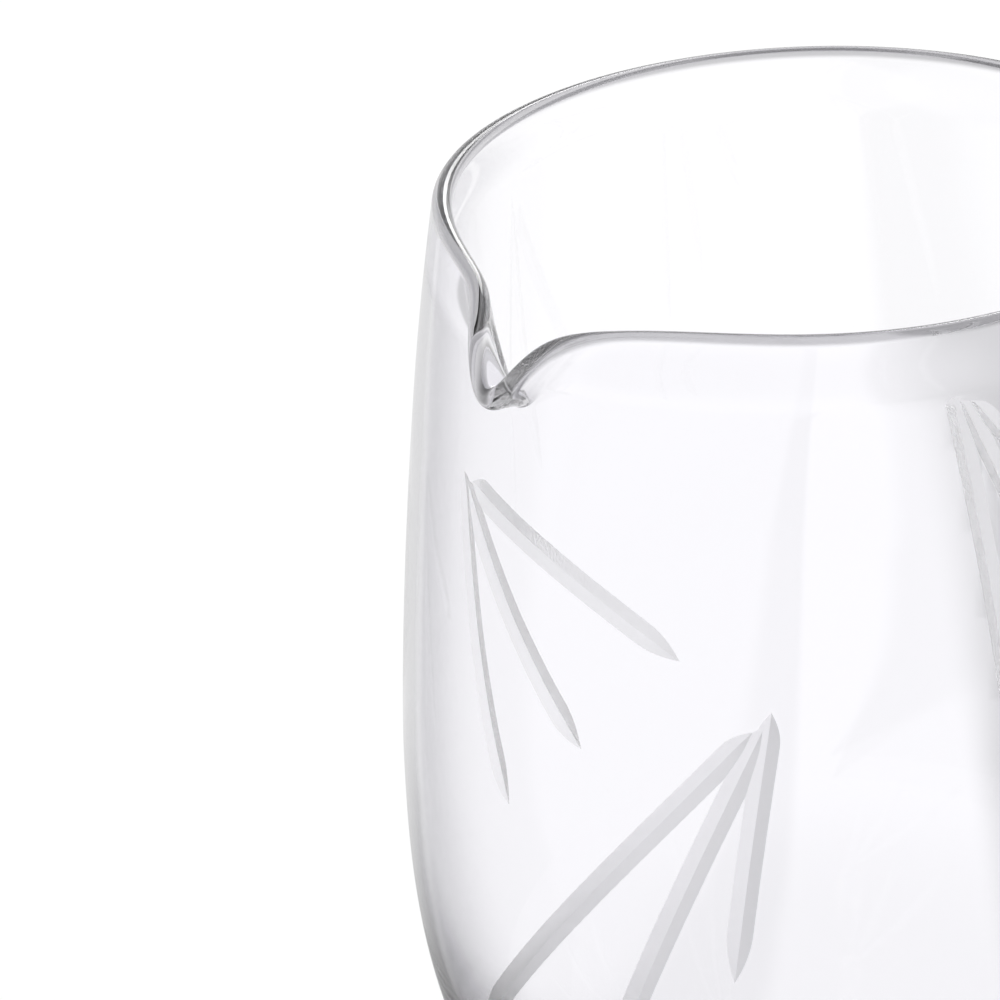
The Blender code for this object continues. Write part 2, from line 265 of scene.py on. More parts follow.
class GlassLooks(bpy.types.PropertyGroup):
    """Colours and finishes of the glass, with its painted shade and painted highlight."""

    clear: FloatVectorProperty(
        name="Clear", description="Colour of the clear glass", subtype="COLOR",
        size=4, default=(0.985, 0.981, 1.0, 1.0))
    # Painted shade: grey mixed into the glass where the wall is seen edge on
    edge: FloatVectorProperty(
        name="Edge", description="Colour where the wall is seen along its surface",
        subtype="COLOR", size=4, default=(0.73, 0.725, 0.755, 1.0))
    # Widens that painted edge shade at the thick base
    base_edge_shade: FloatProperty(
        name="Base grey", description="How much wider the grey edge is at the thick base",
        default=0.12)
    # Painted highlight: a paler line beside the painted grey edge, for camera rays only
    line: FloatProperty(
        name="Line", description="Strength of the paler line beside the grey edge", default=0.9)
    # Painted shade: grey of the rim, and of the thick base seen edge on
    rim_and_base_shade: FloatVectorProperty(
        name="Solid", description="Colour of the rim, and of the thick base seen edge on",
        subtype="COLOR", size=4, default=(0.42, 0.415, 0.435, 1.0))
    satin: FloatVectorProperty(
        name="Satin", description="Colour of the ground cuts", subtype="COLOR",
        size=4, default=(0.92, 0.915, 0.94, 1.0))
    satin_roughness: FloatProperty(
        name="Satin roughness", description="Roughness of the ground cuts", default=0.55)
    satin_fade: FloatProperty(
        name="Satin fade", description="How far the cuts fade where they are seen from behind",
        default=0.35)
    ior: FloatProperty(name="IOR", description="Index of refraction", default=1.52)


class StageLooks(bpy.types.PropertyGroup):
    """Camera, floor and light of the studio."""

    azimuth: FloatProperty(
        name="Azimuth", description="Turn of the camera round the glass",
        default=math.radians(-41.0), subtype="ANGLE")
    elevation: FloatProperty(
        name="Elevation", description="Rise of the camera above the rim",
        default=math.radians(22.62), subtype="ANGLE")
    distance: FloatProperty(
        name="Distance", description="Camera to the middle of the rim", default=1.0, unit="LENGTH")
    aim_right: FloatProperty(
        name="Aim right", description="Aim beside the middle of the rim",
        default=-0.0325, unit="LENGTH")
    aim_up: FloatProperty(
        name="Aim up", description="Aim above the middle of the rim",
        default=-0.0308, unit="LENGTH")
    roll: FloatProperty(
        name="Roll", description="Turn of the camera about its own axis",
        default=math.radians(-2.5), subtype="ANGLE")
    lens: FloatProperty(
        name="Lens", description="Focal length on a 36 mm sensor, in mm", default=355.9)
    floor: FloatVectorProperty(
        name="Floor", description="Colour of the floor", subtype="COLOR",
        size=4, default=(0.95, 0.95, 0.95, 1.0))
    shadow_share: FloatProperty(
        name="Shadow share", description="How much of the floor's white takes shadow",
        default=0.25)
    sky: FloatProperty(
        name="Sky", description="Plain light from all round", default=1.0)
    ceiling: FloatProperty(
        name="Ceiling", description="Brightness overhead, as mirrored in the glass", default=0.20)
    under: FloatProperty(
        name="Under", description="Brightness of the floor under the glass", default=0.45)
    under_radius: FloatProperty(
        name="Under radius", description="Where the floor is white again",
        default=0.16, unit="LENGTH")
    left_shade: FloatProperty(
        name="Left shade", description="How dark the floor left of the glass is in the glass",
        default=0.30)
    near_shade: FloatProperty(
        name="Near shade", description="How dark it is close to the foot", default=0.95)
    right_border: FloatProperty(
        name="Right border", description="Where the shade behind the right side starts",
        default=0.0177, unit="LENGTH")
    right_shade: FloatProperty(
        name="Right shade", description="How dark the floor behind the right side is in the glass",
        default=0.52)
    lamp_width: FloatProperty(
        name="Lamp width", description="Width of the softbox", default=0.34, unit="LENGTH")
    lamp_height: FloatProperty(
        name="Lamp height", description="Height of the softbox", default=0.60, unit="LENGTH")
    lamp_power: FloatProperty(
        name="Lamp power", description="Power of the softbox, in watts", default=3.6)
    bounces: IntProperty(
        name="Bounces", description="How often light may turn inside the glass", default=128)


class Field:
    """A value in a node tree that arithmetic builds on, so formulas read as formulas."""

    def __init__(self, tree, socket):
        self.tree = tree
        self.socket = socket

    def math(self, operation, *others):
        node = self.tree.nodes.new("ShaderNodeMath")
        node.operation = operation
        for target, value in zip(node.inputs, (self, *others)):
            plug(self.tree, target, value)
        return Field(self.tree, node.outputs[0])

    def __add__(self, other):
        return self.math("ADD", other)

    __radd__ = __add__

    def __sub__(self, other):
        return self.math("SUBTRACT", other)

    def __rsub__(self, other):
        return self.math("MULTIPLY_ADD", -1.0, other)

    def __mul__(self, other):
        return self.math("MULTIPLY", other)

    __rmul__ = __mul__

    def __truediv__(self, other):
        return self.math("DIVIDE", other)

    def __rtruediv__(self, other):
        return self.math("POWER", -1.0) * other

    def __pow__(self, other):
        return self.math("POWER", other)

    def __neg__(self):
        return self.math("MULTIPLY", -1.0)

    def vector(self, operation, other=None):
        """The same for a vector; the other value of SCALE is a number."""
        node = self.tree.nodes.new("ShaderNodeVectorMath")
        node.operation = operation
        plug(self.tree, node.inputs[0], self)
        if other is not None:
            plug(self.tree, node.inputs["Scale" if operation == "SCALE" else 1], other)
        return Field(self.tree, node.outputs["Vector"])


def plug(tree, target, value):
    """Link a field to an input, or set the input to a plain value."""
    if isinstance(value, Field):
        tree.links.new(value.socket, target)
    else:
        target.default_value = value


def add_node(tree, kind, inputs=None, **settings):
    """Add a node with its settings, and plug its inputs by name or number."""
    node = tree.nodes.new(kind)
    for name, value in settings.items():
        setattr(node, name, value)
    for name, value in (inputs or {}).items():
        plug(tree, node.inputs[name], value)
    return node


def out(tree, kind, inputs=None, output=0, **settings):
    """Add a node and give one of its outputs as a field."""
    node = add_node(tree, kind, inputs, **settings)
    return Field(tree, node.outputs[output])


def combine(tree, x, y, z):
    """A vector of three fields or numbers."""
    return out(tree, "ShaderNodeCombineXYZ", {"X": x, "Y": y, "Z": z})


def smooth_change(value, start, end, first=0.0, last=1.0):
    """First up to start, last from end on, with a smooth change between them."""
    inputs = {"Value": value, "From Min": start, "From Max": end, "To Min": first, "To Max": last}
    return out(value.tree, "ShaderNodeMapRange", inputs, interpolation_type="SMOOTHSTEP")


def new_geometry_tree(name, sockets, result="Geometry"):
    """A Geometry Nodes tree with named inputs and one output, and those inputs as fields."""
    tree = bpy.data.node_groups.new(name, "GeometryNodeTree")
    tree.is_modifier = result == "Geometry"
    tree.interface.new_socket(result, in_out="OUTPUT", socket_type=f"NodeSocket{result}")
    for socket_name, kind in sockets.items():
        tree.interface.new_socket(socket_name, in_out="INPUT", socket_type=f"NodeSocket{kind}")
    source = tree.nodes.new("NodeGroupInput")
    fields = {socket.name: Field(tree, socket) for socket in source.outputs if socket.name}
    return tree, fields


def end_geometry_tree(tree, geometry):
    """Give a tree its result."""
    sink = tree.nodes.new("NodeGroupOutput")
    plug(tree, sink.inputs[0], geometry)


def add_tree(piece, tree, values):
    """Put a tree on a piece as a modifier, with its inputs set by identifier."""
    modifier = piece.modifiers.new(tree.name, "NODES")
    modifier.node_group = tree
    for item in tree.interface.items_tree:
        if item.in_out == "INPUT" and item.name in values:
            modifier[item.identifier] = values[item.name]


def turned_tree():
    """Turns a profile about Z, welds seam and poles, and marks the faces of the joints."""
    tree, field = new_geometry_tree("turned glass", {
        "Profile": "Geometry", "Steps": "Int", "Crowding": "Float", "Direction": "Float",
        "Low Joint": "Float", "High Joint": "Float", "Glass": "Material", "Joint": "Material"})
    rows = out(
        tree, "GeometryNodeAttributeDomainSize", {"Geometry": field["Profile"]}, component="MESH")
    columns = field["Steps"] + 1
    grid = out(tree, "GeometryNodeMeshGrid", {"Vertices X": columns, "Vertices Y": rows})
    index = out(tree, "GeometryNodeInputIndex")
    column = (index / rows).math("FLOOR")
    row = index - column * rows
    place = out(tree, "GeometryNodeInputPosition")
    point = out(tree, "GeometryNodeSampleIndex", {
        "Geometry": field["Profile"], "Value": place, "Index": row}, data_type="FLOAT_VECTOR")
    split = add_node(tree, "ShaderNodeSeparateXYZ", {0: point})
    radius = Field(tree, split.outputs["X"])
    height = Field(tree, split.outputs["Z"])
    turn = math.pi - column / field["Steps"] * math.tau
    angle = turn - field["Crowding"] * turn.math("SINE") + field["Direction"]
    position = combine(tree, radius * angle.math("COSINE"), radius * angle.math("SINE"), height)
    shape = out(tree, "GeometryNodeSetPosition", {"Geometry": grid, "Position": position})
    shape = out(tree, "GeometryNodeMergeByDistance", {"Geometry": shape, "Distance": WELD})
    shape = out(tree, "GeometryNodeRealizeInstances", {"Geometry": shape})
    shape = out(tree, "GeometryNodeSetMaterial", {"Geometry": shape, "Material": field["Glass"]})
    level = Field(tree, add_node(tree, "ShaderNodeSeparateXYZ", {0: place}).outputs["Z"])
    at_low = (level - field["Low Joint"]).math("ABSOLUTE").math("LESS_THAN", WELD)
    at_high = (level - field["High Joint"]).math("ABSOLUTE").math("LESS_THAN", WELD)
    shape = out(tree, "GeometryNodeSetMaterial", {
        "Geometry": shape, "Selection": at_low + at_high, "Material": field["Joint"]})
    end_geometry_tree(tree, shape)
    return tree


WALL_INPUTS = dict.fromkeys((
    "Belly Radius", "Belly Height", "Narrowing", "Belly To Rim", "Upper Power", "Belly To Base",
    "Lower Power"), "Float")


def wall_inputs(sizes):
    """Values of the tree inputs that describe the bowl's outside."""
    return {
        "Belly Radius": sizes.belly_radius, "Belly Height": RIM_TOP - sizes.belly_to_rim,
        "Narrowing": narrowing(sizes), "Belly To Rim": sizes.belly_to_rim,
        "Upper Power": sizes.upper_power, "Belly To Base": sizes.belly_to_base,
        "Lower Power": sizes.lower_power}


def wall_field(field, height):
    """The bowl's outside radius at a height, inside a tree."""
    above = height - field["Belly Height"]
    rise = above.math("MAXIMUM", 0.0) / field["Belly To Rim"]
    fall = (-above).math("MAXIMUM", 0.0) / field["Belly To Base"]
    share = field["Narrowing"] * rise ** field["Upper Power"] + fall ** field["Lower Power"]
    return field["Belly Radius"] * (1.0 - share).math("SQRT")


LIP_INPUTS = dict.fromkeys((
    *WALL_INPUTS, "Wall Top", "Rim Radius", "Middle Share", "Width", "Drop", "Notch Spread",
    "Shoulder Drop", "Shoulder Spread", "Reach", "Reach Spread", "Pinch", "Pinch Spread",
    "Lip Depth", "Bend"), "Float")


def lip_inputs(sizes, lip):
    """Values of the tree inputs that describe the pour lip."""
    bead = sizes.rim_wall / 2
    return {
        **wall_inputs(sizes), "Wall Top": RIM_TOP - bead, "Rim Radius": sizes.rim_radius,
        "Middle Share": 1.0 - bead / sizes.rim_radius, "Width": lip.width,
        "Drop": lip.drop, "Notch Spread": lip.notch_spread, "Shoulder Drop": lip.shoulder_drop,
        "Shoulder Spread": lip.shoulder_spread, "Reach": lip.reach,
        "Reach Spread": lip.reach_spread, "Pinch": lip.pinch, "Pinch Spread": lip.pinch_spread,
        "Lip Depth": lip.depth, "Bend": lip.bend}


def hump(half_widths, spread):
    """1 at the middle of the lip, dying down sideways."""
    share = half_widths / spread
    return (-(share * share)).math("EXPONENT")


def lip_middle_group():
    """Middle of the wall with the lip pulled, at a depth below the edge as it was before."""
    tree, field = new_geometry_tree(
        "lip middle", {"Angle": "Float", "Depth": "Float", **LIP_INPUTS}, "Vector")
    angle, depth = field["Angle"], field["Depth"]
    half_widths = angle * field["Rim Radius"] / (field["Width"] * 0.5)
    drop = field["Drop"] * hump(half_widths, field["Notch Spread"])
    drop = drop + field["Shoulder Drop"] * hump(half_widths, field["Shoulder Spread"])
    fade = (1.0 - depth / field["Lip Depth"]).math("MAXIMUM", 0.0) ** 2.0
    height = field["Wall Top"] - depth - drop * fade
    bend = (1.0 - depth / field["Bend"]).math("MAXIMUM", 0.0) ** 3.0
    radius = field["Middle Share"] * wall_field(field, height)
    radius = radius + field["Reach"] * hump(half_widths, field["Reach Spread"]) * bend
    radius = radius - field["Pinch"] * hump(half_widths, field["Pinch Spread"]) * fade
    turn = angle + LIP_DIRECTION
    end_geometry_tree(tree, combine(
        tree, radius * turn.math("COSINE"), radius * turn.math("SINE"), height))
    return tree


def lip_tree():
    """Marks a round bowl's rim, and pulls the pour lip out of it; the wall keeps its thickness."""
    tree, field = new_geometry_tree(
        "pour lip", {"Bowl": "Geometry", **LIP_INPUTS, "Bead": "Float"})
    group = lip_middle_group()

    def middle(angle, depth):
        sizes = {name: field[name] for name in LIP_INPUTS}
        inputs = {"Angle": angle, "Depth": depth, **sizes}
        return out(tree, "GeometryNodeGroup", inputs, node_tree=group)

    split = add_node(tree, "ShaderNodeSeparateXYZ", {0: out(tree, "GeometryNodeInputPosition")})
    x, y, height = (Field(tree, socket) for socket in split.outputs)
    radius = (x * x + y * y).math("SQRT").math("MAXIMUM", WELD)
    # The lip points along -X, so the angle from it is measured on the turned axes.
    angle = (-y).math("ARCTAN2", -x)
    depth = (field["Wall Top"] - height).math("MAXIMUM", 0.0)
    rise = (height - field["Wall Top"]).math("MAXIMUM", 0.0)
    level = field["Wall Top"] - depth
    step = 0.0002
    slope = wall_field(field, level + step) - wall_field(field, level - step)
    lean = (slope * field["Middle Share"] / (2.0 * step)).math("ARCTANGENT")
    flat, steep = lean.math("SINE"), lean.math("COSINE")
    along, aside = x / radius, y / radius
    outward = combine(tree, along, aside, 0.0)
    round_normal = combine(tree, along * steep, aside * steep, -flat)
    round_edge = combine(tree, along * flat, aside * flat, steep)
    turn_step = step / field["Rim Radius"]
    before, after = middle(angle - turn_step, depth), middle(angle + turn_step, depth)
    along_rim = after.vector("SUBTRACT", before)
    up_wall = middle(angle, depth - step).vector("SUBTRACT", middle(angle, depth + step))
    normal = along_rim.vector("CROSS_PRODUCT", up_wall).vector("NORMALIZE")
    edge = normal.vector("CROSS_PRODUCT", along_rim).vector("NORMALIZE")
    offset = radius - field["Middle Share"] * wall_field(field, level)
    through = outward.vector("ADD", normal).vector("SUBTRACT", round_normal)
    upward = edge.vector("SUBTRACT", round_edge).vector("ADD", (0.0, 0.0, 1.0))
    point = middle(angle, depth).vector("ADD", through.vector("SCALE", offset))
    point = point.vector("ADD", upward.vector("SCALE", rise))
    marked = out(tree, "GeometryNodeStoreNamedAttribute", {
        "Geometry": field["Bowl"], "Name": RIM_MARK, "Value": rise / field["Bead"]})
    shape = out(tree, "GeometryNodeSetPosition", {
        "Geometry": marked, "Selection": depth.math("LESS_THAN", field["Lip Depth"]),
        "Position": point})
    end_geometry_tree(tree, shape)
    return tree


def ray_cutters(tree, field, number):
    """The matching rays of all the fans: V-section cutters, drawn to a point at both ends."""
    corners = 4
    grid = out(tree, "GeometryNodeMeshGrid", {"Vertices X": RAY_STATIONS, "Vertices Y": corners})
    marks = out(tree, "GeometryNodeMeshLine", {"Count": field["Fans"]})
    rays = out(tree, "GeometryNodeInstanceOnPoints", {"Points": marks, "Instance": grid})
    rays = out(tree, "GeometryNodeRealizeInstances", {"Geometry": rays})
    index = out(tree, "GeometryNodeInputIndex")
    row = (index / float(corners)).math("FLOOR")
    corner = index - row * float(corners)
    fan = (row / float(RAY_STATIONS)).math("FLOOR")
    station = row - fan * float(RAY_STATIONS)
    share = 0.5 - (station * (math.pi / (RAY_STATIONS - 1))).math("COSINE") * 0.5

    is_first = fan.math("LESS_THAN", 0.5)

    def of_fan(name):
        usual, first = field[f"{name} {number}"], field[f"First {name} {number}"]
        return usual + (first - usual) * is_first

    start, end, ray_angle = field[f"Start {number}"], of_fan("End"), of_fan("Angle")
    distance = start + (end - start) * share
    lean, fall = ray_angle.math("SINE"), ray_angle.math("COSINE")
    height = field["Rim Height"] - field["Below Rim"] - distance * fall
    radius = wall_field(field, height)
    swing = field["First Swing"] * is_first * (distance / field["Swing Distance"]) ** 3.0
    sideways = distance * lean - swing
    turn = field["First"] + fan * field["Pitch"] - sideways / radius + LIP_DIRECTION
    step = 0.0005
    slope = wall_field(field, height + step) - wall_field(field, height - step)
    tilt = (slope / (2.0 * step)).math("ARCTANGENT")
    from_end = ((distance - start) / field["Apex Taper"]).math(
        "MINIMUM", (end - distance) / field["Taper"])
    size = 1.0 - (1.0 - from_end).math("MAXIMUM", 0.0) ** 2.0

    # Corner 1 is the valley; the others stand proud of the wall on both sides of it.
    is_valley = (corner - 1.0).math("ABSOLUTE").math("LESS_THAN", 0.5)
    is_left = (corner - 2.0).math("ABSOLUTE").math("LESS_THAN", 0.5)
    side = (1.0 - is_valley) * (1.0 - is_left * 2.0)
    across = side * field["Width"] * 0.5 * field["Proud"] * size
    lift = ((1.0 - is_valley) * field["Proud"] - 1.0) * field["Depth"] * size
    # Across a ray means round the bowl by its fall, and down the wall by its lean.
    new_turn = turn + across * fall / radius
    new_radius = radius + lift * tilt.math("COSINE") - across * lean * tilt.math("SINE")
    new_height = height - across * lean * tilt.math("COSINE") - lift * tilt.math("SINE")
    position = combine(
        tree, new_radius * new_turn.math("COSINE"), new_radius * new_turn.math("SINE"), new_height)
    rays = out(tree, "GeometryNodeSetPosition", {"Geometry": rays, "Position": position})
    rays = out(tree, "GeometryNodeMergeByDistance", {"Geometry": rays, "Distance": WELD})
    return out(tree, "GeometryNodeSetMaterial", {"Geometry": rays, "Material": field["Satin"]})


def fans_tree():
    """Cuts the fans into a bowl: three rays to a fan, repeated round the axis."""
    rays = [f"{name} {number}" for number in (1, 2, 3)
            for name in ("Angle", "Start", "End", "First Angle", "First End")]
    sizes = dict.fromkeys((
        "Rim Height", "Below Rim", "First", "Pitch", "First Swing", "Swing Distance", "Width",
        "Depth", "Taper", "Apex Taper", "Proud", *rays), "Float")
    tree, field = new_geometry_tree("cut fans", {
        "Bowl": "Geometry", "Fans": "Int", **WALL_INPUTS, **sizes, "Satin": "Material"})
    cut = add_node(tree, "GeometryNodeMeshBoolean", {"Mesh 1": field["Bowl"]},
                   operation="DIFFERENCE", solver="EXACT")
    for number in (1, 2, 3):
        tree.links.new(ray_cutters(tree, field, number).socket, cut.inputs["Mesh 2"])
    end_geometry_tree(tree, Field(tree, cut.outputs["Mesh"]))
    return tree


def profile_object(name, outline):
    """A temporary object that holds a profile of (radius, height) points."""
    mesh = bpy.data.meshes.new(name)
    corners = [(radius, 0.0, height) for radius, height in outline]
    mesh.from_pydata(corners, [(index, index + 1) for index in range(len(corners) - 1)], [])
    profile = bpy.data.objects.new(name, mesh)
    bpy.context.scene.collection.objects.link(profile)
    return profile


def settle_piece(name, profile, node):
    """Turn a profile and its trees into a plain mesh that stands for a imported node."""
    depsgraph = bpy.context.evaluated_depsgraph_get()
    depsgraph.update()
    mesh = bpy.data.meshes.new_from_object(profile.evaluated_get(depsgraph))
    bpy.data.objects.remove(profile, do_unlink=True)
    if not mesh.polygons:
        raise RuntimeError(f"{name} came out empty")
    # A grid starts with an empty material slot, which no face uses any more.
    mesh.materials.pop(index=0)
    mesh.shade_smooth()
    mesh.set_sharp_from_angle(angle=SHARP_EDGE)
    piece = bpy.data.objects.new(name, mesh)
    bpy.context.scene.collection.objects.link(piece)
    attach(piece, BODY)
    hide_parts(node)
    return piece


def bezier(start, start_pull, end_pull, end, count):
    """Points after start on a cubic curve in the profile plane, end included."""
    points = []
    for index in range(1, count + 1):
        t = index / count
        weights = ((1 - t) ** 3, 3 * t * (1 - t) ** 2, 3 * t * t * (1 - t), t ** 3)
        corners = (start, start_pull, end_pull, end)
        radius, height = (
            sum(weight * corner[axis] for weight, corner in zip(weights, corners))
            for axis in (0, 1))
        points.append((radius, height))
    return points


def disc_points(radius, height, count=6):
    """Points from the axis out to a radius, for a flat round face."""
    return [(radius * index / count, height) for index in range(count)]


def narrowing(sizes):
    """How much the wall draws in from the belly to the rim, as a share of its squared radius."""
    return 1.0 - (sizes.rim_radius / sizes.belly_radius) ** 2


def upper_wall(sizes, belly_radius, top, extra):
    """Points of a wall from the top down to the belly, thicker by extra at the top."""
    belly = RIM_TOP - sizes.belly_to_rim
    points = []
    for index in range(WALL_RINGS + 1):
        depth = (top - belly) * (index / WALL_RINGS) ** RIM_CROWDING
        rise = (top - depth - belly) / sizes.belly_to_rim
        radius = belly_radius * math.sqrt(1.0 - narrowing(sizes) * rise ** sizes.upper_power)
        thinning = min(1.0, depth / sizes.rim_thickening)
        thickening = 1.0 - thinning * thinning * (3.0 - 2.0 * thinning)
        points.append((radius - extra * thickening, top - depth))
    return points


def lower_wall(sizes, belly_radius, base_drop, power, end_radius):
    """Points below the belly, down the rounded base as far as end_radius, evenly spaced."""
    last_angle = math.acos(end_radius / belly_radius)
    belly = RIM_TOP - sizes.belly_to_rim
    points = []
    for index in range(1, BASE_RINGS + 1):
        angle = last_angle * (index / BASE_RINGS) ** (power / 2.0)
        drop = base_drop * math.sin(angle) ** (2.0 / power)
        points.append((belly_radius * math.cos(angle), belly - drop))
    return points


def bowl_outline(sizes, neck_radius):
    """The bowl's section: up the inside, over the rim, down the outside to the joint."""
    inner_belly = sizes.belly_radius - sizes.wall
    rim_extra = sizes.rim_wall - sizes.wall * sizes.rim_radius / sizes.belly_radius
    bead = sizes.rim_wall / 2
    wall_top = RIM_TOP - bead
    inside = upper_wall(sizes, inner_belly, wall_top, rim_extra)
    inner_drop = sizes.belly_to_base - sizes.base_thickness
    inside += lower_wall(sizes, inner_belly, inner_drop, sizes.inner_power, 0.0)
    outside = upper_wall(sizes, sizes.belly_radius, wall_top, 0.0)
    outside += lower_wall(
        sizes, sizes.belly_radius, sizes.belly_to_base, sizes.lower_power, sizes.fillet_radius)

    middle = (inside[0][0] + outside[0][0]) / 2
    half = (outside[0][0] - inside[0][0]) / 2
    rim = []
    for index in range(1, RIM_SEGMENTS):
        angle = math.pi * (1.0 - index / RIM_SEGMENTS)
        rim.append((middle + half * math.cos(angle), wall_top + bead * math.sin(angle)))

    start = outside[-1]
    slope = (outside[-1][1] - outside[-2][1]) / (outside[-1][0] - outside[-2][0])
    run = start[0] - neck_radius
    start_pull = (start[0] - BASE_PULL * run, start[1] - BASE_PULL * run * slope)
    end_pull = (neck_radius, UPPER_JOINT + NECK_PULL * (start_pull[1] - UPPER_JOINT))
    fillet = bezier(start, start_pull, end_pull, (neck_radius, UPPER_JOINT), FILLET_RINGS)
    return inside[::-1] + rim + outside + fillet + disc_points(neck_radius, UPPER_JOINT)[::-1]


def stem_outline(sizes):
    """A short drawn stem, narrowest half way up."""
    length = UPPER_JOINT - LOWER_JOINT
    outline = disc_points(sizes.neck_radius, UPPER_JOINT)
    for index in range(STEM_RINGS + 1):
        share = 1.0 - index / STEM_RINGS
        pinch = (sizes.neck_radius - sizes.waist_radius) * math.sin(math.pi * share) ** 2
        outline.append((sizes.neck_radius - pinch, LOWER_JOINT + length * share))
    return outline + disc_points(sizes.neck_radius, LOWER_JOINT)[::-1]


def foot_outline(sizes):
    """A disc that sweeps up to the stem's seat and rests on a flat ring."""
    half = sizes.foot_edge / 2
    middle = sizes.foot_radius - half
    seat = (sizes.neck_radius, LOWER_JOINT)
    seat_height = LOWER_JOINT - sizes.foot_edge
    seat_pull = (sizes.neck_radius, LOWER_JOINT - sizes.seat_pull * seat_height)
    edge_pull = (middle - sizes.edge_pull * (middle - sizes.neck_radius), sizes.foot_edge)
    outline = disc_points(sizes.neck_radius, LOWER_JOINT) + [seat]
    outline += bezier(seat, seat_pull, edge_pull, (middle, sizes.foot_edge), FOOT_RINGS)
    for index in range(1, RIM_SEGMENTS + 1):
        angle = math.pi * (0.5 - index / RIM_SEGMENTS)
        outline.append((middle + half * math.cos(angle), half * (1 + math.sin(angle))))
    for index in range(FILLET_RINGS + 1):
        share = 1.0 - index / FILLET_RINGS
        outline.append((sizes.hollow_radius * share, sizes.hollow_depth * (1.0 - share * share)))
    return outline


def shader_group(name, inputs, outputs):
    """An empty shader node group with named float inputs and outputs."""
    tree = bpy.data.node_groups.new(name, "ShaderNodeTree")
    for socket_name, default in inputs.items():
        socket = tree.interface.new_socket(
            socket_name, in_out="INPUT", socket_type="NodeSocketFloat")
        socket.default_value = default
    for socket_name in outputs:
        tree.interface.new_socket(socket_name, in_out="OUTPUT", socket_type="NodeSocketFloat")
    source = tree.nodes.new("NodeGroupInput")
    sink = tree.nodes.new("NodeGroupOutput")
    fields = {socket.name: Field(tree, socket) for socket in source.outputs if socket.name}
    return tree, fields, sink


def hand_work_group():
    """Slow waves of blown glass and fine grit of grinding, as heights and a roughness."""
    name = "hand work"
    if name in bpy.data.node_groups:
        return bpy.data.node_groups[name]
    tree, field, sink = shader_group(
        name, {"Wave Scale": 30.0, "Grit Scale": 900.0, "Roughness": 0.02, "Variation": 0.5},
        ("Waves", "Grit", "Roughness"))
    place = out(tree, "ShaderNodeTexCoord", output="Object")
    waves = out(tree, "ShaderNodeTexNoise", {
        "Vector": place, "Scale": field["Wave Scale"], "Detail": 1.0, "Roughness": 0.4})
    grit = out(tree, "ShaderNodeTexNoise", {
        "Vector": place, "Scale": field["Grit Scale"], "Detail": 3.0, "Roughness": 0.6})
    change = (waves - 0.5) * field["Variation"] + (grit - 0.5) * field["Variation"] + 1.0
    plug(tree, sink.inputs["Waves"], waves)
    plug(tree, sink.inputs["Grit"], grit)
    plug(tree, sink.inputs["Roughness"], field["Roughness"] * change)
    return tree


def new_material(name):
    """An empty node material with a Principled shader on its output."""
    material = bpy.data.materials.new(name)
    material.use_nodes = True
    return material, material.node_tree, material.node_tree.nodes["Principled BSDF"]


def mix_colours(tree, share, first, second):
    """The socket of a blend of two colours."""
    mix = tree.nodes.new("ShaderNodeMix")
    mix.data_type = "RGBA"
    plug(tree, mix.inputs[0], share)
    plug(tree, mix.inputs[6], first)
    plug(tree, mix.inputs[7], second)
    return Field(tree, mix.outputs[2])


def clear_glass(name, looks, wave_scale, wave_depth):
    """Fire-polished clear glass, slightly wavy, with painted grey shade at the rim and where it is
    seen edge on, and a painted highlight beside that edge.
    """
    material, tree, shader = new_material(name)
    work = add_node(tree, "ShaderNodeGroup", node_tree=hand_work_group())
    work.inputs["Wave Scale"].default_value = wave_scale
    work.inputs["Roughness"].default_value = POLISHED_ROUGHNESS
    facing = out(tree, "ShaderNodeLayerWeight", {"Blend": 0.5}, output="Facing")
    place = out(tree, "ShaderNodeTexCoord", output="Object")
    height = out(tree, "ShaderNodeSeparateXYZ", {0: place}, output="Z")
    low = smooth_change(height, BASE_END, WALL_START, 1.0, 0.0)
    # Just inside the edge, where light begins to get through the wall, a paler line is painted for
    # camera rays: a painted highlight.
    camera = out(tree, "ShaderNodeLightPath", output="Is Camera Ray")
    beside = (facing - PALE_LINE) / PALE_LINE_HALF
    line = (1.0 - beside * beside).math("MAXIMUM", 0.0) * camera * looks.line
    # Painted shade: the colour turns grey where the surface is seen edge on, sooner at the thick
    # base
    turned = facing + low * looks.base_edge_shade
    edge = smooth_change(turned, EDGE_SHADE_START, EDGE_SHADE_FULL) * (1.0 - line)
    # Painted shade: solid grey over the rim's rounding and the thick base seen edge on
    rim = out(tree, "ShaderNodeAttribute", output="Fac", attribute_name=RIM_MARK)
    rim_and_base_shade = smooth_change(rim, RIM_SHADE_START, RIM_SHADE_FULL).math("MAXIMUM", edge * low)
    colour = mix_colours(tree, edge, tuple(looks.clear), tuple(looks.edge))
    colour = mix_colours(tree, rim_and_base_shade, colour, tuple(looks.rim_and_base_shade))
    plug(tree, shader.inputs["Base Color"], colour)
    bump = add_node(tree, "ShaderNodeBump", {
        "Height": Field(tree, work.outputs["Waves"]), "Distance": wave_depth, "Strength": 1.0})
    tree.links.new(bump.outputs["Normal"], shader.inputs["Normal"])
    tree.links.new(work.outputs["Roughness"], shader.inputs["Roughness"])
    shader.inputs["Metallic"].default_value = 0.0
    shader.inputs["Transmission Weight"].default_value = 1.0
    shader.inputs["IOR"].default_value = looks.ior
    return material


